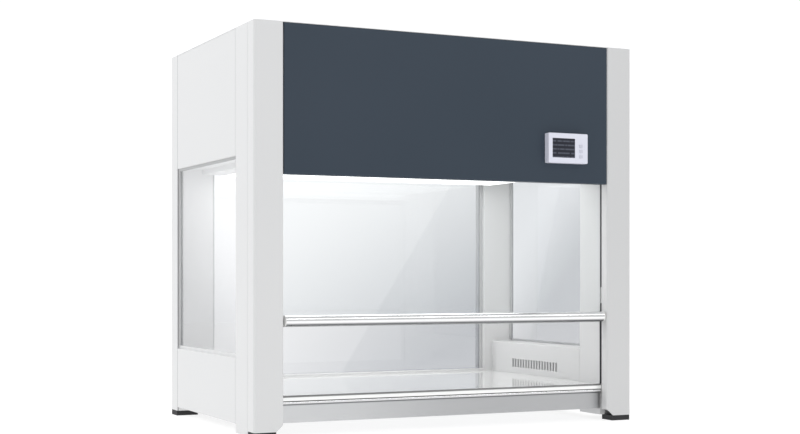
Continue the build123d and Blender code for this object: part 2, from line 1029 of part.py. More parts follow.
# Sash
save("sash_glass", sash_glass())
save("sash_bar", sash_bar())
save("bar_end_caps", bar_end_cap(-1), bar_end_cap(1))
save("sash_top_rail", sash_top_rail())
save("sash_seal", sash_seal())
glass_bottom, glass_top = sash_levels()
shoe_levels = (glass_bottom + lower_shoe_rise, glass_top - upper_shoe_drop - shoe_height)
save("guide_shoes", *[guide_shoe(side, level) for side in (-1, 1) for level in shoe_levels])
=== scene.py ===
# %% [markdown]
# # A bench-top fume hood
#
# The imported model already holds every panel, pane and moving piece at its real size. This lesson
# gives those pieces their finishes, adds the small things that are too fine for the construction
# model, and lights the hood like a product on a white sweep. Everything is in metres, with +Z up
# and the front towards -Y.

import math

import bmesh
import bpy
from mathutils import Matrix, Vector


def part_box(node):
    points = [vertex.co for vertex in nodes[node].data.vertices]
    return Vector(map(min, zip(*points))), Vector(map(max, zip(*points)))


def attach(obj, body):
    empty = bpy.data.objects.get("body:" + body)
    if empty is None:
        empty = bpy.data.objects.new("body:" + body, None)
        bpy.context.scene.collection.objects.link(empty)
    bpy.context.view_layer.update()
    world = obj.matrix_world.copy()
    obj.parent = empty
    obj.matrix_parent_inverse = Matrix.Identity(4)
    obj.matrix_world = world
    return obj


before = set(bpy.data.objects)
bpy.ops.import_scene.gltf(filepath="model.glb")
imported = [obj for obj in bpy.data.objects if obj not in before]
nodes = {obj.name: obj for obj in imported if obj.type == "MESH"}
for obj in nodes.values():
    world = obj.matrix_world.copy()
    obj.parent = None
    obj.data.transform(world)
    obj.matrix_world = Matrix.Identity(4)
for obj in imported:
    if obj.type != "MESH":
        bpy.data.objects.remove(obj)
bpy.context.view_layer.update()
print(len(nodes), "pieces from the construction model")


# %% [markdown]
# ## The camera
#
# A camera could be placed by eye until the hood looks right. Here its place comes from a fit to
# the corners of the real hood in the photograph: it stands low and to the left, level, with the
# frame shifted upwards like a view camera, so that the upright edges stay parallel.

# %% Place the camera
image_width_px = 800
focal_px = 1432
horizon_drop_px = 58
sensor_mm = 36
turn_to_right = math.radians(25.45)
camera_place = Vector((-1.572, -3.3235, 0.364))

camera_data = bpy.data.cameras.new("camera")
camera_data.sensor_width = sensor_mm
camera_data.lens = sensor_mm * focal_px / image_width_px
camera_data.shift_y = horizon_drop_px / image_width_px
camera = bpy.data.objects.new("camera", camera_data)
camera.location = camera_place
camera.rotation_euler = (math.radians(90), 0, -turn_to_right)
bpy.context.scene.collection.objects.link(camera)
bpy.context.scene.camera = camera
print("lens", round(camera_data.lens, 1), "mm")


# %% [markdown]
# ## Floor and light
#
# A product on white needs a floor as bright as the backdrop, which a table of opal acrylic lit from
# below gives, and light that comes from everywhere but not equally. The world is a large soft room:
# brightest behind the hood and to its left, dimmer in front and to its right, which shades the faces
# apart. One wide softbox overhead rounds the edges, and a long strip light in front puts the bright
# line on the polished tube. A last one stands in for the light that the diffuser sheds on the work.

# %% Helpers for shader nodes
def node(tree, kind, place=(0, 0), **settings):
    """Add a shader node, set its options, and give it a place in the editor."""
    made = tree.nodes.new(kind)
    made.location = place
    for name, value in settings.items():
        setattr(made, name, value)
    return made


def join(tree, output, target):
    """Link two sockets."""
    tree.links.new(output, target)


# %% Lay the floor
floor_size = 14.0
floor_grey = (0.3, 0.3, 0.3, 1)
floor_glow = 0.8
bm = bmesh.new()
bmesh.ops.create_grid(bm, x_segments=1, y_segments=1, size=floor_size / 2)
floor_mesh = bpy.data.meshes.new("floor")
bm.to_mesh(floor_mesh)
bm.free()
floor = bpy.data.objects.new("floor", floor_mesh)
bpy.context.scene.collection.objects.link(floor)
floor_paint = bpy.data.materials.new("floor_paint")
floor_paint.use_nodes = True
floor_shader = floor_paint.node_tree.nodes["Principled BSDF"]
floor_shader.inputs["Base Color"].default_value = floor_grey
floor_shader.inputs["Roughness"].default_value = 0.9
floor_shader.inputs["Specular IOR Level"].default_value = 0.1
floor_shader.inputs["Emission Color"].default_value = (1, 1, 1, 1)
floor_shader.inputs["Emission Strength"].default_value = floor_glow
floor_mesh.materials.append(floor_paint)
print("floor", floor_size, "m wide")

# %% Build the soft room
back_light = 1.08
front_light = 0.63
left_bonus = 0.1
room_tint = (0.985, 0.99, 1.0, 1)
dim_until, bright_from = -0.1, 0.45
bonus_from, bonus_full = 0.2, -0.9
world = bpy.data.worlds.new("soft_room")
world.use_nodes = True
bpy.context.scene.world = world
tree = world.node_tree
background = tree.nodes["Background"]
direction = node(tree, "ShaderNodeTexCoord", (-900, 0))
parts = node(tree, "ShaderNodeSeparateXYZ", (-720, 0))
join(tree, direction.outputs["Generated"], parts.inputs["Vector"])
depth = node(tree, "ShaderNodeMapRange", (-520, 80), interpolation_type="SMOOTHSTEP")
depth.inputs["From Min"].default_value = dim_until
depth.inputs["From Max"].default_value = bright_from
depth.inputs["To Min"].default_value = front_light
depth.inputs["To Max"].default_value = back_light
join(tree, parts.outputs["Y"], depth.inputs["Value"])
leftness = node(tree, "ShaderNodeMapRange", (-520, -160), interpolation_type="SMOOTHSTEP")
leftness.inputs["From Min"].default_value = bonus_from
leftness.inputs["From Max"].default_value = bonus_full
leftness.inputs["To Min"].default_value = 0.0
leftness.inputs["To Max"].default_value = left_bonus
join(tree, parts.outputs["X"], leftness.inputs["Value"])
total = node(tree, "ShaderNodeMath", (-300, 0), operation="ADD")
join(tree, depth.outputs["Result"], total.inputs[0])
join(tree, leftness.outputs["Result"], total.inputs[1])
join(tree, total.outputs["Value"], background.inputs["Strength"])
background.inputs["Color"].default_value = room_tint
print("room from", front_light, "in front to", back_light, "behind")


# %% Hang the softboxes
def softbox(name, place, aim, width, height, watts, mirrored=True):
    """A rectangular area light that faces a point; mirrored ones show in glossy surfaces."""
    data = bpy.data.lights.new(name, "AREA")
    data.shape = "RECTANGLE"
    data.size = width
    data.size_y = height
    data.energy = watts
    lamp = bpy.data.objects.new(name, data)
    lamp.location = place
    lamp.rotation_euler = (Vector(aim) - Vector(place)).to_track_quat("-Z", "Y").to_euler()
    lamp.visible_glossy = mirrored
    bpy.context.scene.collection.objects.link(lamp)
    print(name, watts, "W")


softbox("overhead", place=(-0.6, 0.6, 3.2), aim=(0, 0.3, 0), width=3.5, height=3.0, watts=45)
softbox("strip", place=(0.9, -2.6, 2.3), aim=(0, -0.3, 0.3), width=3.2, height=0.35, watts=12)
softbox(
    "chamber",
    place=(0, -0.02, 0.618),
    aim=(0, -0.02, 0),
    width=0.8,
    height=0.5,
    watts=2.3,
    mirrored=False,
)

bpy.context.scene.view_settings.view_transform = "Standard"


# %% [markdown]
# ## Shared surface effects
#
# Several finishes share the same small effects: the orange peel of powder coat, the lines of
# brushed steel, the crystals of zinc, a slow variation in tone, and ramps and narrow bands of
# painted shade and painted reflection. Each is a node group, built once with named inputs, so that
# every material sets only its own scale and strength.

# %% Start a node group
def new_group(name, inputs, outputs):
    """A shader node group with float or vector inputs and outputs."""
    group = bpy.data.node_groups.new(name, "ShaderNodeTree")
    for label, kind, value in inputs:
        socket = group.interface.new_socket(label, in_out="INPUT", socket_type=kind)
        if value is not None:
            socket.default_value = value
    for label, kind in outputs:
        group.interface.new_socket(label, in_out="OUTPUT", socket_type=kind)
    source = node(group, "NodeGroupInput", (-900, 0))
    result = node(group, "NodeGroupOutput", (500, 0))
    print("effect", name)
    return group, source, result


FLOAT, VECTOR = "NodeSocketFloat", "NodeSocketVector"

# %% Powder coat: fine orange peel and a slow drift in tone
speck_scale = 1900.0
speck_share = 0.25
powder_grain, source, result = new_group(
    "powder_grain",
    [("Vector", VECTOR, None), ("Peel scale", FLOAT, 420.0), ("Drift scale", FLOAT, 2.5)],
    [("Height", FLOAT), ("Drift", FLOAT)],
)
peel = node(powder_grain, "ShaderNodeTexNoise", (-500, 160))
peel.inputs["Detail"].default_value = 2.0
speck = node(powder_grain, "ShaderNodeTexNoise", (-500, -60))
speck.inputs["Scale"].default_value = speck_scale
drift = node(powder_grain, "ShaderNodeTexNoise", (-500, -280))
drift.inputs["Detail"].default_value = 1.0
mix = node(powder_grain, "ShaderNodeMath", (-200, 100), operation="MULTIPLY_ADD")
mix.inputs[1].default_value = speck_share
for texture in (peel, speck, drift):
    join(powder_grain, source.outputs["Vector"], texture.inputs["Vector"])
join(powder_grain, source.outputs["Peel scale"], peel.inputs["Scale"])
join(powder_grain, source.outputs["Drift scale"], drift.inputs["Scale"])
join(powder_grain, speck.outputs["Fac"], mix.inputs[0])
join(powder_grain, peel.outputs["Fac"], mix.inputs[2])
join(powder_grain, mix.outputs["Value"], result.inputs["Height"])
join(powder_grain, drift.outputs["Fac"], result.inputs["Drift"])

# %% Brushed metal: noise drawn out along one axis
brushed_lines, source, result = new_group(
    "brushed_lines",
    [("Vector", VECTOR, None), ("Stretch", VECTOR, (6.0, 900.0, 900.0)), ("Drift scale", FLOAT, 5.0)],
    [("Height", FLOAT), ("Drift", FLOAT)],
)
stretch = node(brushed_lines, "ShaderNodeVectorMath", (-680, 80), operation="MULTIPLY")
lines = node(brushed_lines, "ShaderNodeTexNoise", (-460, 80))
lines.inputs["Scale"].default_value = 1.0
lines.inputs["Detail"].default_value = 3.0
drift = node(brushed_lines, "ShaderNodeTexNoise", (-460, -180))
drift.inputs["Detail"].default_value = 2.0
join(brushed_lines, source.outputs["Vector"], stretch.inputs[0])
join(brushed_lines, source.outputs["Stretch"], stretch.inputs[1])
join(brushed_lines, stretch.outputs["Vector"], lines.inputs["Vector"])
join(brushed_lines, source.outputs["Vector"], drift.inputs["Vector"])
join(brushed_lines, source.outputs["Drift scale"], drift.inputs["Scale"])
join(brushed_lines, lines.outputs["Fac"], result.inputs["Height"])
join(brushed_lines, drift.outputs["Fac"], result.inputs["Drift"])

# %% Galvanised sheet: flat crystals of zinc
zinc_spangle, source, result = new_group(
    "zinc_spangle",
    [("Vector", VECTOR, None), ("Scale", FLOAT, 90.0)],
    [("Height", FLOAT), ("Tone", FLOAT)],
)
cells = node(zinc_spangle, "ShaderNodeTexVoronoi", (-500, 60))
cells.inputs["Randomness"].default_value = 1.0
grey = node(zinc_spangle, "ShaderNodeRGBToBW", (-280, 60))
fine = node(zinc_spangle, "ShaderNodeTexNoise", (-500, -220))
fine.inputs["Scale"].default_value = 600.0
for texture in (cells, fine):
    join(zinc_spangle, source.outputs["Vector"], texture.inputs["Vector"])
join(zinc_spangle, source.outputs["Scale"], cells.inputs["Scale"])
join(zinc_spangle, cells.outputs["Color"], grey.inputs["Color"])
join(zinc_spangle, grey.outputs["Val"], result.inputs["Tone"])
join(zinc_spangle, fine.outputs["Fac"], result.inputs["Height"])

# %% Moulded surfaces: spark-eroded texture
mould_grain, source, result = new_group(
    "mould_grain",
    [("Vector", VECTOR, None), ("Scale", FLOAT, 1500.0)],
    [("Height", FLOAT), ("Drift", FLOAT)],
)
grain = node(mould_grain, "ShaderNodeTexNoise", (-500, 80))
grain.inputs["Detail"].default_value = 4.0
drift = node(mould_grain, "ShaderNodeTexNoise", (-500, -180))
drift.inputs["Scale"].default_value = 18.0
for texture in (grain, drift):
    join(mould_grain, source.outputs["Vector"], texture.inputs["Vector"])
join(mould_grain, source.outputs["Scale"], grain.inputs["Scale"])
join(mould_grain, grain.outputs["Fac"], result.inputs["Height"])
join(mould_grain, drift.outputs["Fac"], result.inputs["Drift"])

# %% Glass: a painted reflection, a tone that deepens along a slope, with one soft step across it
step_softness = 0.006
painted_pane_reflection, source, result = new_group(
    "painted_pane_reflection",
    [
        ("Vector", VECTOR, None),
        ("Across", VECTOR, (1.0, 0.0, -1.0)),
        ("Start", FLOAT, 0.0),
        ("End", FLOAT, 1.0),
        ("Step normal", VECTOR, (1.0, 0.0, -0.5)),
        ("Step place", FLOAT, 0.0),
        ("Step depth", FLOAT, 0.1),
    ],
    [("Tone", FLOAT)],
)
along = node(painted_pane_reflection, "ShaderNodeVectorMath", (-680, 120), operation="DOT_PRODUCT")
slope = node(painted_pane_reflection, "ShaderNodeMapRange", (-460, 120), interpolation_type="SMOOTHSTEP")
side = node(painted_pane_reflection, "ShaderNodeVectorMath", (-680, -160), operation="DOT_PRODUCT")
offset = node(painted_pane_reflection, "ShaderNodeMath", (-500, -160), operation="SUBTRACT")
edge = node(painted_pane_reflection, "ShaderNodeMapRange", (-320, -160), interpolation_type="SMOOTHSTEP")
edge.inputs["From Min"].default_value = -step_softness
edge.inputs["From Max"].default_value = step_softness
scaled = node(painted_pane_reflection, "ShaderNodeMath", (-100, -160), operation="MULTIPLY")
total = node(painted_pane_reflection, "ShaderNodeMath", (120, 40), operation="ADD", use_clamp=True)
join(painted_pane_reflection, source.outputs["Vector"], along.inputs[0])
join(painted_pane_reflection, source.outputs["Across"], along.inputs[1])
join(painted_pane_reflection, along.outputs["Value"], slope.inputs["Value"])
join(painted_pane_reflection, source.outputs["Start"], slope.inputs["From Min"])
join(painted_pane_reflection, source.outputs["End"], slope.inputs["From Max"])
join(painted_pane_reflection, source.outputs["Vector"], side.inputs[0])
join(painted_pane_reflection, source.outputs["Step normal"], side.inputs[1])
join(painted_pane_reflection, side.outputs["Value"], offset.inputs[0])
join(painted_pane_reflection, source.outputs["Step place"], offset.inputs[1])
join(painted_pane_reflection, offset.outputs["Value"], edge.inputs["Value"])
join(painted_pane_reflection, edge.outputs["Result"], scaled.inputs[0])
join(painted_pane_reflection, source.outputs["Step depth"], scaled.inputs[1])
join(painted_pane_reflection, slope.outputs["Result"], total.inputs[0])
join(painted_pane_reflection, scaled.outputs["Value"], total.inputs[1])
join(painted_pane_reflection, total.outputs["Value"], result.inputs["Tone"])

# %% A ramp of painted shade along any direction
painted_shade_slope, source, result = new_group(
    "painted_shade_slope",
    [
        ("Vector", VECTOR, None),
        ("Along", VECTOR, (1.0, 0.0, 0.0)),
        ("Start", FLOAT, -0.5),
        ("End", FLOAT, 0.5),
    ],
    [("Tone", FLOAT)],
)
along = node(painted_shade_slope, "ShaderNodeVectorMath", (-500, 60), operation="DOT_PRODUCT")
slope = node(painted_shade_slope, "ShaderNodeMapRange", (-260, 60), interpolation_type="SMOOTHSTEP")
join(painted_shade_slope, source.outputs["Vector"], along.inputs[0])
join(painted_shade_slope, source.outputs["Along"], along.inputs[1])
join(painted_shade_slope, along.outputs["Value"], slope.inputs["Value"])
join(painted_shade_slope, source.outputs["Start"], slope.inputs["From Min"])
join(painted_shade_slope, source.outputs["End"], slope.inputs["From Max"])
join(painted_shade_slope, slope.outputs["Result"], result.inputs["Tone"])

# %% A narrow band at one depth, for the shadow in a seam, wherever a face is further out than Reach
seam_band, source, result = new_group(
    "seam_band",
    [
        ("Vector", VECTOR, None),
        ("Place", FLOAT, 0.0),
        ("Half width", FLOAT, 0.001),
        ("Reach", FLOAT, 0.497),
    ],
    [("Mask", FLOAT)],
)
parts = node(seam_band, "ShaderNodeSeparateXYZ", (-700, 0))
distance = node(seam_band, "ShaderNodeMath", (-500, 120), operation="SUBTRACT")
size = node(seam_band, "ShaderNodeMath", (-320, 120), operation="ABSOLUTE")
close = node(seam_band, "ShaderNodeMath", (-140, 120), operation="LESS_THAN")
outward = node(seam_band, "ShaderNodeMath", (-500, -120), operation="ABSOLUTE")
outside = node(seam_band, "ShaderNodeMath", (-320, -120), operation="GREATER_THAN")
both = node(seam_band, "ShaderNodeMath", (60, 20), operation="MULTIPLY")
join(seam_band, source.outputs["Vector"], parts.inputs["Vector"])
join(seam_band, parts.outputs["Y"], distance.inputs[0])
join(seam_band, source.outputs["Place"], distance.inputs[1])
join(seam_band, distance.outputs["Value"], size.inputs[0])
join(seam_band, size.outputs["Value"], close.inputs[0])
join(seam_band, source.outputs["Half width"], close.inputs[1])
join(seam_band, parts.outputs["X"], outward.inputs[0])
join(seam_band, outward.outputs["Value"], outside.inputs[0])
join(seam_band, source.outputs["Reach"], outside.inputs[1])
join(seam_band, close.outputs["Value"], both.inputs[0])
join(seam_band, outside.outputs["Value"], both.inputs[1])
join(seam_band, both.outputs["Value"], result.inputs["Mask"])

# %% Rows of unreadable marks, as a small display shows from a few steps away
line_fades, line_full = 0.22, 0.42
mark_fades, mark_full = 0.34, 0.5
display_rows, source, result = new_group(
    "display_rows",
    [("Vector", VECTOR, None), ("Pitch", FLOAT, 0.0098), ("Mark scale", FLOAT, 130.0)],
    [("Mask", FLOAT)],
)
parts = node(display_rows, "ShaderNodeSeparateXYZ", (-900, 0))
turns = node(display_rows, "ShaderNodeMath", (-720, 80), operation="DIVIDE")
row = node(display_rows, "ShaderNodeMath", (-540, 160), operation="FLOOR")
within = node(display_rows, "ShaderNodeMath", (-540, 20), operation="FRACT")
line = node(display_rows, "ShaderNodeMath", (-360, 20), operation="PINGPONG")
line.inputs[1].default_value = 0.5
height = node(display_rows, "ShaderNodeMapRange", (-180, 20), interpolation_type="SMOOTHSTEP")
height.inputs["From Min"].default_value = line_fades
height.inputs["From Max"].default_value = line_full
spot = node(display_rows, "ShaderNodeCombineXYZ", (-360, 240))
marks = node(display_rows, "ShaderNodeTexNoise", (-180, 240))
marks.inputs["Detail"].default_value = 1.0
words = node(display_rows, "ShaderNodeMapRange", (0, 240), interpolation_type="SMOOTHSTEP")
words.inputs["From Min"].default_value = mark_fades
words.inputs["From Max"].default_value = mark_full
shown = node(display_rows, "ShaderNodeMath", (200, 100), operation="MULTIPLY")
join(display_rows, source.outputs["Vector"], parts.inputs["Vector"])
join(display_rows, parts.outputs["Z"], turns.inputs[0])
join(display_rows, source.outputs["Pitch"], turns.inputs[1])
join(display_rows, turns.outputs["Value"], row.inputs[0])
join(display_rows, turns.outputs["Value"], within.inputs[0])
join(display_rows, within.outputs["Value"], line.inputs[0])
join(display_rows, line.outputs["Value"], height.inputs["Value"])
join(display_rows, parts.outputs["X"], spot.inputs["X"])
join(display_rows, row.outputs["Value"], spot.inputs["Z"])
join(display_rows, spot.outputs["Vector"], marks.inputs["Vector"])
join(display_rows, source.outputs["Mark scale"], marks.inputs["Scale"])
join(display_rows, marks.outputs["Fac"], words.inputs["Value"])
join(display_rows, height.outputs["Result"], shown.inputs[0])
join(display_rows, words.outputs["Result"], shown.inputs[1])
join(display_rows, shown.outputs["Value"], result.inputs["Mask"])
print(len(bpy.data.node_groups), "shared effects")


# %% [markdown]
# ## Finishes
#
# A finish is one Principled shader. The constant numbers sit on the shader itself, and only what
# changes over the surface comes from the groups: base colour, roughness and the height for a bump.
# Each finish reads Object coordinates. Every piece keeps its object at the origin, so a pattern
# runs on from one piece to the next, as paint and brushing do. A tint then paints shade into a
# finish along a ramp or in a narrow band: painted shade towards the hood's right and along the
# apron, painted shadow lines in the joins, and painted dark reflections along the bottom of the
# bright bars and on the worktop's front bend.

# %% One function for every textured finish
def finish(name, group, colours, roughness, bump, metallic=0.0, settings=None, tone="Drift", **shader):
    """A material: two base colours and two roughnesses mixed by the group's tone, and a bump."""
    material = bpy.data.materials.new(name)
    material.use_nodes = True
    tree = material.node_tree
    principled = tree.nodes["Principled BSDF"]
    place = node(tree, "ShaderNodeTexCoord", (-1100, 0))
    effect = node(tree, "ShaderNodeGroup", (-860, 0), node_tree=group)
    join(tree, place.outputs["Object"], effect.inputs["Vector"])
    for label, value in (settings or {}).items():
        effect.inputs[label].default_value = value
    colour = node(tree, "ShaderNodeMix", (-480, 160), data_type="RGBA")
    colour.inputs["A"].default_value = (*colours[0], 1)
    colour.inputs["B"].default_value = (*colours[1], 1)
    join(tree, effect.outputs[tone], colour.inputs["Factor"])
    join(tree, colour.outputs["Result"], principled.inputs["Base Color"])
    rough = node(tree, "ShaderNodeMapRange", (-480, -80))
    rough.inputs["To Min"].default_value = roughness[0]
    rough.inputs["To Max"].default_value = roughness[1]
    join(tree, effect.outputs[tone], rough.inputs["Value"])
    join(tree, rough.outputs["Result"], principled.inputs["Roughness"])
    strength, distance = bump
    raised = node(tree, "ShaderNodeBump", (-300, -320))
    raised.inputs["Strength"].default_value = strength
    raised.inputs["Distance"].default_value = distance
    join(tree, effect.outputs["Height"], raised.inputs["Height"])
    join(tree, raised.outputs["Normal"], principled.inputs["Normal"])
    principled.inputs["Metallic"].default_value = metallic
    for label, value in shader.items():
        principled.inputs[label.replace("_", " ")].default_value = value
    return material


# %% Tint a finish where a group says
def tint(material, group, output, colour, **settings):
    """Multiply the base colour by a colour where the group's output is 1."""
    tree = material.node_tree
    principled = tree.nodes["Principled BSDF"]
    base = principled.inputs["Base Color"].links[0].from_socket
    place = node(tree, "ShaderNodeTexCoord", (-1100, 420))
    effect = node(tree, "ShaderNodeGroup", (-860, 420), node_tree=group)
    join(tree, place.outputs["Object"], effect.inputs["Vector"])
    for label, value in settings.items():
        effect.inputs[label.replace("_", " ")].default_value = value
    mixed = node(tree, "ShaderNodeMix", (-240, 300), data_type="RGBA", blend_type="MULTIPLY")
    mixed.inputs["B"].default_value = (*colour, 1)
    join(tree, effect.outputs[output], mixed.inputs["Factor"])
    join(tree, base, mixed.inputs["A"])
    join(tree, mixed.outputs["Result"], principled.inputs["Base Color"])


# %% Paints and sheet metals
white_coat = finish(
    "white_coat", powder_grain, [(0.725, 0.73, 0.734), (0.755, 0.757, 0.757)], (0.38, 0.48), (0.12, 0.0004)
)
# Painted shade: the white paint darkens towards the hood's right, where less light falls.
right_side_shade = (0.89, 0.89, 0.89)
tint(white_coat, painted_shade_slope, "Tone", right_side_shade, Start=-0.3, End=0.5)
# Painted shadow lines where the side panels, the rear post and the column cover meet, and along the bend of
# the cover.
seam_shadows = {
    "rear post": {"colour": (0.45, 0.45, 0.46), "Place": 0.2675, "Half_width": 0.0012},
    "upper panel": {"colour": (0.88, 0.88, 0.88), "Place": -0.19, "Half_width": 0.0011},
    "column cover": {"colour": (0.9, 0.9, 0.9), "Place": -0.275, "Half_width": 0.0012},
    "bend of the cover": {"colour": (0.9, 0.9, 0.9), "Place": -0.314, "Half_width": 0.0015},
}
for seam_name, seam in seam_shadows.items():
    tint(white_coat, seam_band, "Mask", **seam)
    print("seam at the", seam_name)
blue_grey_coat = finish(
    "blue_grey_coat",
    powder_grain,
    [(0.029, 0.045, 0.065), (0.038, 0.054, 0.077)],
    (0.38, 0.5),
    (0.18, 0.0004),
    Specular_IOR_Level=0.35,
)
mirror_steel = finish(
    "mirror_steel",
    brushed_lines,
    [(0.93, 0.94, 0.93), (0.97, 0.975, 0.965)],
    (0.05, 0.1),
    (0.02, 0.0002),
    metallic=0.4,
    settings={"Stretch": (3.0, 700.0, 700.0)},
)
satin_steel = finish(
    "satin_steel",
    brushed_lines,
    [(0.62, 0.63, 0.64), (0.70, 0.705, 0.71)],
    (0.3, 0.4),
    (0.12, 0.0003),
    metallic=1.0,
    settings={"Stretch": (4.0, 1200.0, 1200.0)},
)
bright_tube = finish(
    "bright_tube",
    brushed_lines,
    [(0.86, 0.865, 0.87), (0.92, 0.92, 0.925)],
    (0.1, 0.16),
    (0.03, 0.0002),
    metallic=1.0,
    settings={"Stretch": (3.0, 900.0, 900.0)},
)
satin_aluminium = finish(
    "satin_aluminium",
    brushed_lines,
    [(0.70, 0.705, 0.71), (0.78, 0.78, 0.785)],
    (0.28, 0.36),
    (0.08, 0.0002),
    metallic=1.0,
    settings={"Stretch": (5.0, 900.0, 900.0)},
)
zinc_sheet = finish(
    "zinc_sheet",
    zinc_spangle,
    [(0.50, 0.52, 0.54), (0.66, 0.67, 0.69)],
    (0.28, 0.46),
    (0.06, 0.0003),
    metallic=1.0,
    tone="Tone",
)
# Painted shade: the apron's steel darkens towards the right.
apron_right_shade = (0.74, 0.74, 0.745)
tint(satin_steel, painted_shade_slope, "Tone", apron_right_shade, Start=-0.4, End=0.1)
turned_steel = finish(
    "turned_steel",
    brushed_lines,
    [(0.58, 0.59, 0.6), (0.7, 0.7, 0.71)],
    (0.2, 0.3),
    (0.05, 0.0002),
    metallic=1.0,
    settings={"Stretch": (900.0, 900.0, 60.0)},
)


# %% Polished round bars: a painted dark reflection along the bottom
def shaded_bar(name, tone, top, bottom):
    """The bright tube finish, with a painted dark reflection that deepens downwards from one height to
    another.
    """
    material = bright_tube.copy()
    material.name = name
    tint(material, painted_shade_slope, "Tone", tone, Along=(0.0, 0.0, -1.0), Start=-top, End=-bottom)
    return material


tube_steel = shaded_bar("tube_steel", (0.2, 0.204, 0.21), top=0.257, bottom=0.251)
rail_steel = shaded_bar("rail_steel", (0.3, 0.305, 0.31), top=0.0735, bottom=0.0712)

# %% A painted dark reflection along the worktop's front bend
bend_reflection = {"colour": (0.25, 0.25, 0.25), "Place": -0.291, "Half_width": 0.0024}
everywhere = -1.0  # a Reach below 0 takes in every face
tint(mirror_steel, seam_band, "Mask", Reach=everywhere, **bend_reflection)
print("metals and paints ready")

# %% Plastics, rubber, paper and board
dark_rubber = finish(
    "dark_rubber", mould_grain, [(0.022, 0.022, 0.024), (0.035, 0.035, 0.037)], (0.7, 0.85), (0.3, 0.0003)
)
grey_rubber = finish(
    "grey_rubber", mould_grain, [(0.46, 0.465, 0.47), (0.52, 0.525, 0.53)], (0.65, 0.8), (0.25, 0.0003)
)
dark_plastic = finish(
    "dark_plastic", mould_grain, [(0.05, 0.05, 0.055), (0.07, 0.07, 0.075)], (0.42, 0.55), (0.15, 0.0002)
)
light_plastic = finish(
    "light_plastic", mould_grain, [(0.72, 0.72, 0.71), (0.78, 0.78, 0.77)], (0.4, 0.5), (0.1, 0.0002)
)
module_plastic = finish(
    "module_plastic", mould_grain, [(0.74, 0.755, 0.86), (0.80, 0.81, 0.90)], (0.36, 0.46), (0.12, 0.0002)
)
button_plastic = finish(
    "button_plastic", mould_grain, [(0.62, 0.635, 0.73), (0.67, 0.68, 0.77)], (0.42, 0.5), (0.1, 0.0002)
)
screen_gloss = finish(
    "screen_gloss", mould_grain, [(0.010, 0.012, 0.022), (0.014, 0.016, 0.028)], (0.07, 0.1), (0.01, 0.0001)
)
board_green = finish(
    "board_green", mould_grain, [(0.012, 0.11, 0.045), (0.018, 0.14, 0.06)], (0.35, 0.5), (0.1, 0.0002)
)
filter_board = finish(
    "filter_board", mould_grain, [(0.46, 0.35, 0.23), (0.55, 0.43, 0.29)], (0.75, 0.9), (0.3, 0.0004)
)
filter_paper = finish(
    "filter_paper", mould_grain, [(0.82, 0.82, 0.79), (0.88, 0.88, 0.85)], (0.85, 0.95), (0.3, 0.0004)
)
filter_pad = finish(
    "filter_pad",
    mould_grain,
    [(0.50, 0.53, 0.56), (0.66, 0.68, 0.70)],
    (0.9, 1.0),
    (0.8, 0.0015),
    settings={"Scale": 420.0},
)
motor_paint = finish(
    "motor_paint", powder_grain, [(0.02, 0.02, 0.022), (0.03, 0.03, 0.032)], (0.4, 0.5), (0.2, 0.0003)
)
frosted_tube = finish(
    "frosted_tube", mould_grain, [(0.86, 0.87, 0.88), (0.9, 0.905, 0.91)], (0.3, 0.4), (0.05, 0.0001)
)
lit_tube = finish(
    "lit_tube",
    mould_grain,
    [(0.86, 0.87, 0.88), (0.9, 0.905, 0.91)],
    (0.3, 0.4),
    (0.05, 0.0001),
    Emission_Color=(1.0, 0.99, 0.97, 1),
    Emission_Strength=1.0,
)
print("plastics ready")

# %% Faintly lit rows on the display
row_strength = 0.085
row_colour = (0.72, 0.8, 1.0, 1)
tree = screen_gloss.node_tree
screen_shader = tree.nodes["Principled BSDF"]
place = node(tree, "ShaderNodeTexCoord", (-1100, 420))
rows = node(tree, "ShaderNodeGroup", (-860, 420), node_tree=display_rows)
glow = node(tree, "ShaderNodeMath", (-200, -520), operation="MULTIPLY")
glow.inputs[1].default_value = row_strength
screen_shader.inputs["Emission Color"].default_value = row_colour
join(tree, place.outputs["Object"], rows.inputs["Vector"])
join(tree, rows.outputs["Mask"], glow.inputs[0])
join(tree, glow.outputs["Value"], screen_shader.inputs["Emission Strength"])
print("display with rows")


# %% [markdown]
# ## Glass
#
# Window glass bends light a little, mirrors a few per cent of it and is green at its edges. A
# transmission shader does that. Shadow and soft-light rays pass straight through instead, because
# in a real room the light does too, and a path tracer finds it hard to follow. The photograph's
# panes darken towards the lower right, with one slanted soft step, which a tone group repeats as
# a painted reflection in the colour of the glass.

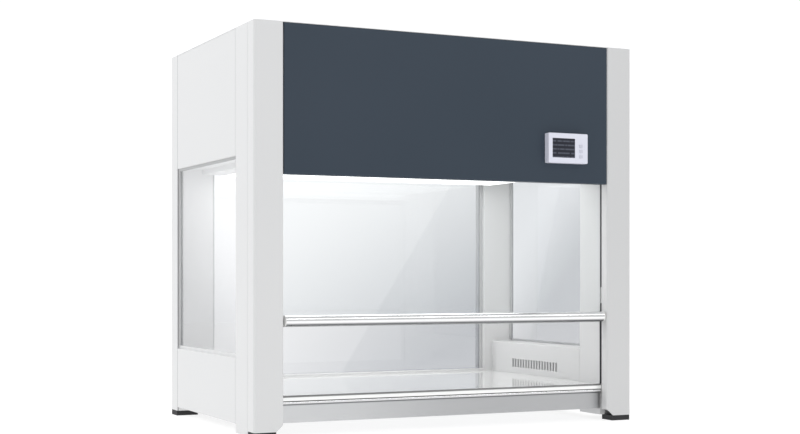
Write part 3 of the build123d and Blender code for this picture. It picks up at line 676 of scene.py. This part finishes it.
# %% A pane of glass with its tone
def glass(name, clear, deep, **settings):
    """Transmission glass whose tint goes from clear to deep, a painted reflection."""
    material = bpy.data.materials.new(name)
    material.use_nodes = True
    tree = material.node_tree
    principled = tree.nodes["Principled BSDF"]
    output = tree.nodes["Material Output"]
    principled.inputs["Roughness"].default_value = 0.0
    principled.inputs["IOR"].default_value = 1.45
    principled.inputs["Transmission Weight"].default_value = 1.0
    place = node(tree, "ShaderNodeTexCoord", (-900, 0))
    effect = node(tree, "ShaderNodeGroup", (-660, 0), node_tree=painted_pane_reflection)
    join(tree, place.outputs["Object"], effect.inputs["Vector"])
    for label, value in settings.items():
        effect.inputs[label.replace("_", " ")].default_value = value
    colour = node(tree, "ShaderNodeMix", (-360, 100), data_type="RGBA")
    colour.inputs["A"].default_value = (*clear, 1)
    colour.inputs["B"].default_value = (*deep, 1)
    join(tree, effect.outputs["Tone"], colour.inputs["Factor"])
    join(tree, colour.outputs["Result"], principled.inputs["Base Color"])
    open_way = node(tree, "ShaderNodeBsdfTransparent", (0, -260))
    rays = node(tree, "ShaderNodeLightPath", (-360, 420))
    soft = node(tree, "ShaderNodeMath", (-120, 360), operation="MAXIMUM")
    join(tree, rays.outputs["Is Shadow Ray"], soft.inputs[0])
    join(tree, rays.outputs["Is Diffuse Ray"], soft.inputs[1])
    choice = node(tree, "ShaderNodeMixShader", (220, 60))
    join(tree, soft.outputs["Value"], choice.inputs["Fac"])
    join(tree, principled.outputs["BSDF"], choice.inputs[1])
    join(tree, open_way.outputs["BSDF"], choice.inputs[2])
    join(tree, choice.outputs["Shader"], output.inputs["Surface"])
    return material


# %% The four panes
clear_tint = (0.97, 0.985, 0.985)
# The rear and side panes carry a painted reflection, darker towards one lower corner; the sash pane has an
# even tint.
rear_pane = glass(
    "rear_pane",
    (1.0, 1.0, 1.0),
    (0.50, 0.515, 0.54),
    Across=(0.78, 0.0, -1.3),
    Start=-1.05,
    End=0.25,
    Step_normal=(0.84, 0.0, -0.54),
    Step_place=-0.08,
    Step_depth=0.08,
)
right_pane = glass(
    "right_pane",
    (0.80, 0.808, 0.825),
    (0.56, 0.57, 0.59),
    Across=(0.0, -0.85, -0.9),
    Start=-0.6,
    End=-0.22,
    Step_normal=(0.0, -0.94, -0.34),
    Step_place=-0.21,
    Step_depth=0.1,
)
left_pane = glass(
    "left_pane",
    (0.96, 0.963, 0.97),
    (0.68, 0.685, 0.695),
    Across=(0.0, 0.45, -0.9),
    Start=-0.55,
    End=-0.12,
    Step_depth=0.0,
)
sash_pane = glass("sash_pane", clear_tint, clear_tint, Step_depth=0.0)
print("four panes")


# %% [markdown]
# ## Dressing the construction model
#
# Each piece of the construction model keeps its shape and gets the finish of its real material.
# Left and right pieces share a finish, apart from the side panes, so the table below leaves out the
# side of the others.

# %% Give every piece its finish
finishes = {
    "column_cover": white_coat,
    "column_body": white_coat,
    "rear_post": white_coat,
    "upper_side_panel": white_coat,
    "upper_side_liner": white_coat,
    "lower_side_panel": white_coat,
    "lower_side_liner": white_coat,
    "sash_guide": dark_plastic,
    "side_gasket": grey_rubber,
    "worktop_bearer": zinc_sheet,
    "rear_gasket": grey_rubber,
    "rear_upper_panel": white_coat,
    "rear_lower_panel": white_coat,
    "worktop": mirror_steel,
    "front_rail": rail_steel,
    "apron": satin_steel,
    "base_pan": zinc_sheet,
    "header_panel": blue_grey_coat,
    "top_cover": white_coat,
    "feet": dark_rubber,
    "cable_gland": dark_plastic,
    "plenum_front": white_coat,
    "diffuser": white_coat,
    "filter_frame": filter_board,
    "filter_media": filter_paper,
    "fan_deck": zinc_sheet,
    "impeller": zinc_sheet,
    "motor_shaft": turned_steel,
    "fan_motor": motor_paint,
    "motor_bridge": zinc_sheet,
    "prefilter": filter_pad,
    "work_lamp": lit_tube,
    "uv_lamp": frosted_tube,
    "lamp_holders": light_plastic,
    "control_housing": module_plastic,
    "control_screen": screen_gloss,
    "control_board": board_green,
    "lower_button": button_plastic,
    "middle_button": button_plastic,
    "upper_button": button_plastic,
    "sash_bar": tube_steel,
    "bar_end_caps": light_plastic,
    "sash_top_rail": satin_aluminium,
    "sash_seal": grey_rubber,
    "guide_shoes": light_plastic,
    "rear_glass": rear_pane,
    "right_side_glass": right_pane,
    "left_side_glass": left_pane,
    "sash_glass": sash_pane,
}


def dress(piece, material):
    """Replace all material slots of a piece by one finish."""
    piece.data.materials.clear()
    piece.data.materials.append(material)


for name, piece in nodes.items():
    plain_name = name.removeprefix("left_").removeprefix("right_")
    dress(piece, finishes[name] if name in finishes else finishes[plain_name])
print(len(finishes), "finishes on", len(nodes), "pieces")


# %% [markdown]
# ## Small fittings
#
# Screw heads, the metal caps of the lamps and the pin in the handle bar are too fine for the
# construction model. Each kind is one mesh, and it rides on the body that carries it.

# %% Helpers for small fittings
def add_barrel(bm, start, axis, length, near_radius, far_radius, sides=24):
    """A closed barrel or cone from a point, along an axis."""
    turn = Vector((0, 0, 1)).rotation_difference(Vector(axis)).to_matrix().to_4x4()
    place = Matrix.Translation(Vector(start) + Vector(axis) * length / 2)
    bmesh.ops.create_cone(
        bm,
        cap_ends=True,
        segments=sides,
        radius1=near_radius,
        radius2=far_radius,
        depth=length,
        matrix=place @ turn,
    )


def make_fitting(name, bm, material, body, rounding=0.0):
    """Turn a bmesh into a piece that rides on a body."""
    mesh = bpy.data.meshes.new(name)
    bm.to_mesh(mesh)
    bm.free()
    mesh.materials.append(material)
    piece = bpy.data.objects.new(name, mesh)
    bpy.context.scene.collection.objects.link(piece)
    if rounding:
        bevel = piece.modifiers.new("rounding", "BEVEL")
        bevel.width = rounding
        bevel.segments = 2
    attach(piece, body)
    print(name, "on", body)


# %% Screws of the rear panels
upper_low, upper_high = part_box("rear_upper_panel")
lower_low, lower_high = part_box("rear_lower_panel")
screw_inset = 0.012
screw_radius, screw_height = 0.0042, 0.0022
crown_radius = 0.72 * screw_radius
recess_depth, recess_length, recess_width = 0.0004, 0.0046, 0.0009
screws_in_a_row = 5
rear_face = upper_high.y
rows_of_screws = [
    upper_low.z + screw_inset,
    upper_high.z - screw_inset,
    (lower_low.z + lower_high.z) / 2,
]
heads = bmesh.new()
recess_shade_crosses = bmesh.new()
for height in rows_of_screws:
    for index in range(screws_in_a_row):
        share = index / (screws_in_a_row - 1)
        across = (upper_low.x + screw_inset) * (1 - share) + (upper_high.x - screw_inset) * share
        foot = (across, rear_face, height)
        add_barrel(heads, foot, (0, 1, 0), screw_height, screw_radius, crown_radius)
        # A thin dark cross on each head is the painted shade of its recess.
        for wide, tall in ((recess_length, recess_width), (recess_width, recess_length)):
            centre = Matrix.Translation((across, rear_face + screw_height, height))
            size = Matrix.Diagonal((wide, recess_depth, tall, 1))
            bmesh.ops.create_cube(recess_shade_crosses, size=1, matrix=centre @ size)
make_fitting("rear_panel_screws", heads, turned_steel, "cabinet", rounding=0.0005)
make_fitting("screw_recess_shades", recess_shade_crosses, dark_plastic, "cabinet")

# %% Metal caps on the ends of both lamps
cap_length = 0.022
cap_wall = 0.0004
for lamp_name in ("work_lamp", "uv_lamp"):
    low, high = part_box(lamp_name)
    middle = (low + high) / 2
    radius = (high.z - low.z) / 2 + cap_wall
    caps = bmesh.new()
    for start, inward in ((low.x, 1), (high.x, -1)):
        add_barrel(caps, (start, middle.y, middle.z), (inward, 0, 0), cap_length, radius, radius)
    make_fitting(lamp_name + "_caps", caps, satin_aluminium, "cabinet", rounding=0.0006)

# %% The pin near the left end of the handle bar
bar_low, bar_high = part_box("sash_bar")
pin_inset, pin_drop = 0.012, 0.009
pin_radius, pin_length, pin_front = 0.0018, 0.006, 0.0032
pin = bmesh.new()
pin_start = (bar_low.x + pin_inset, bar_low.y + pin_front, (bar_low.z + bar_high.z) / 2 - pin_drop)
add_barrel(pin, pin_start, (0, 1, 0), pin_length, pin_radius, pin_radius)
make_fitting("bar_pin", pin, dark_plastic, "sash")
